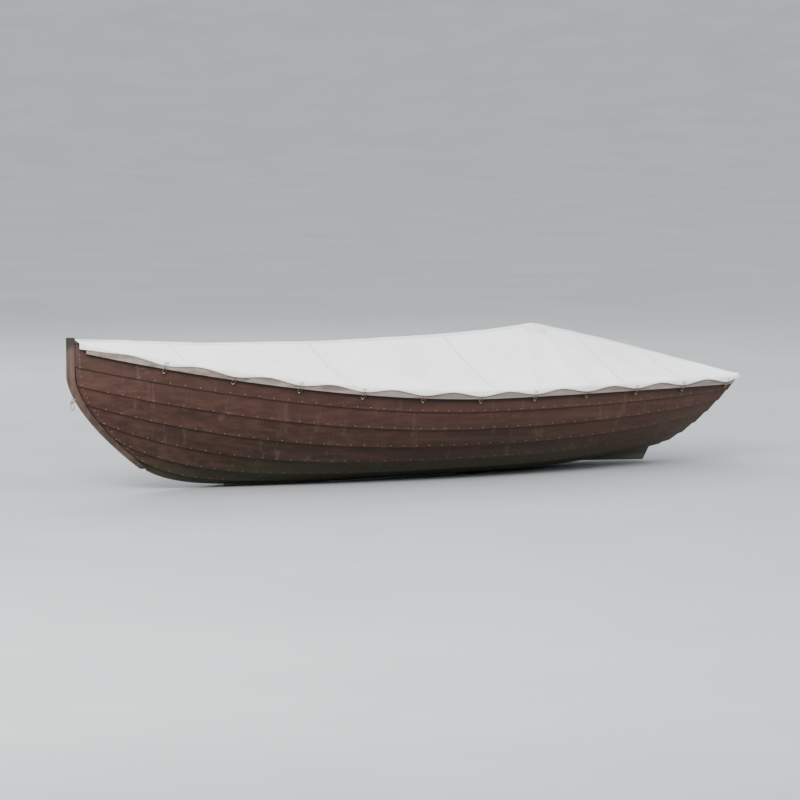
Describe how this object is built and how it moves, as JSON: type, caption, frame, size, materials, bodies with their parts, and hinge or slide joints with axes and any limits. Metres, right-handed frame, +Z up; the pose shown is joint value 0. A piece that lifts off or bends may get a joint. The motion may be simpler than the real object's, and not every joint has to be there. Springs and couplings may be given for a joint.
{
  "type": "square-stern canoe",
  "caption": "Lapstrake wooden square-stern canoe with seats and ribs, under a lift-off canvas cover tented over a telescopic pole.",
  "frame": {"origin": "centre of the whole canoe's box in plan, at the level its runner shoes stand on", "axes": "+X to the bow, +Y to port, +Z up"},
  "size_m": [4.19, 1.2346, 0.862],
  "materials": {
    "planking": "weathered red-brown paint over wood",
    "bottom_wood": "dark weathered wood",
    "backbone_wood": "dark oiled oak",
    "rail_wood": "bare grey weathered oak",
    "inner_wood": "satin varnish",
    "seat_wood": "satin varnish, worn",
    "floor_wood": "bare scrubbed wood",
    "canvas": "white proofed canvas",
    "tie_cord": "sheathed elastic cord",
    "galvanised": "galvanised, dull",
    "brass": "aged brass",
    "pole_metal": "satin anodised",
    "pole_plastic": "black, matte",
    "pole_rubber": "black, dull"
  },
  "bodies": {
    "hull": {"garboard_port": "planking", "garboard_starboard": "planking", "strake_2_port": "planking", "strake_2_starboard": "planking", "strake_3_port": "planking", "strake_3_starboard": "planking", "strake_4_port": "planking", "strake_4_starboard": "planking", "strake_5_port": "planking", "strake_5_starboard": "planking", "strake_6_port": "planking", "strake_6_starboard": "planking", "sheer_strake_port": "planking", "sheer_strake_starboard": "planking", "bottom_board": "bottom_wood", "runner_port": "bottom_wood", "runner_starboard": "bottom_wood", "skeg": "bottom_wood", "outer_stem": "backbone_wood", "inner_stem": "backbone_wood", "transom": "backbone_wood", "transom_cap": "backbone_wood", "rub_rail_port": "rail_wood", "rub_rail_starboard": "rail_wood", "ribs": "inner_wood", "inwale_port": "inner_wood", "inwale_starboard": "inner_wood", "riser_port": "inner_wood", "riser_starboard": "inner_wood", "breasthook": "inner_wood", "quarter_knees": "inner_wood", "thwart_knees": "inner_wood", "rowlock_blocks": "inner_wood", "seat_posts": "inner_wood", "pole_foot": "inner_wood", "bow_seat": "seat_wood", "middle_seat": "seat_wood", "stern_seat": "seat_wood", "floor_slat_middle": "floor_wood", "bow_eye": "galvanised", "stern_eye": "galvanised", "eye_nuts": "galvanised", "runner_shoes": "galvanised", "drain_bush": "brass", "rowlock_sockets": "brass", "tie_hooks": "brass", "pole_outer": "pole_metal"},
    "cover": {"cover_port": "canvas", "cover_starboard": "canvas", "cover_tabs": "canvas", "tie_loops": "tie_cord"},
    "bow_ring": {"bow_ring": "galvanised"},
    "stern_ring": {"stern_ring": "galvanised"},
    "drain_plug": {"drain_plug": "brass"},
    "pole_collar": {"pole_collar": "pole_plastic"},
    "pole_inner": {"pole_inner": "pole_metal", "pole_cap": "pole_rubber"},
    "floorboard_port": {"floorboard_port": "floor_wood"},
    "floorboard_starboard": {"floorboard_starboard": "floor_wood"}
  },
  "joints": [
    {"name": "cover_lift", "type": "slide", "parent": "hull", "child": "cover", "axis": [0, 0, 1], "range_m": [0, 0.6], "deforming": ["tie_loops"]},
    {"name": "bow_ring_swing", "type": "hinge", "parent": "hull", "child": "bow_ring", "pos_m": [2.06188, 0, 0.50879], "axis": [0, 1, 0], "range_deg": [-100, 30]},
    {"name": "stern_ring_swing", "type": "hinge", "parent": "hull", "child": "stern_ring", "pos_m": [-2.02007, 0, 0.41673], "axis": [0, 1, 0], "range_deg": [-30, 100]},
    {"name": "drain_pull", "type": "slide", "parent": "hull", "child": "drain_plug", "axis": [-0.7771, 0, -0.6293], "range_m": [0, 0.04]},
    {"name": "pole_lock_twist", "type": "hinge", "parent": "hull", "child": "pole_collar", "pos_m": [-0.89, 0, 0.536], "axis": [0, 0, 1], "range_deg": [0, 90]},
    {"name": "pole_slide", "type": "slide", "parent": "hull", "child": "pole_inner", "axis": [0, 0, 1], "range_m": [-0.22, 0]},
    {"name": "floorboard_port_lift", "type": "slide", "parent": "hull", "child": "floorboard_port", "axis": [0, 0, 1], "range_m": [0, 0.1]},
    {"name": "floorboard_starboard_lift", "type": "slide", "parent": "hull", "child": "floorboard_starboard", "axis": [0, 0, 1], "range_m": [0, 0.1]}
  ]
}
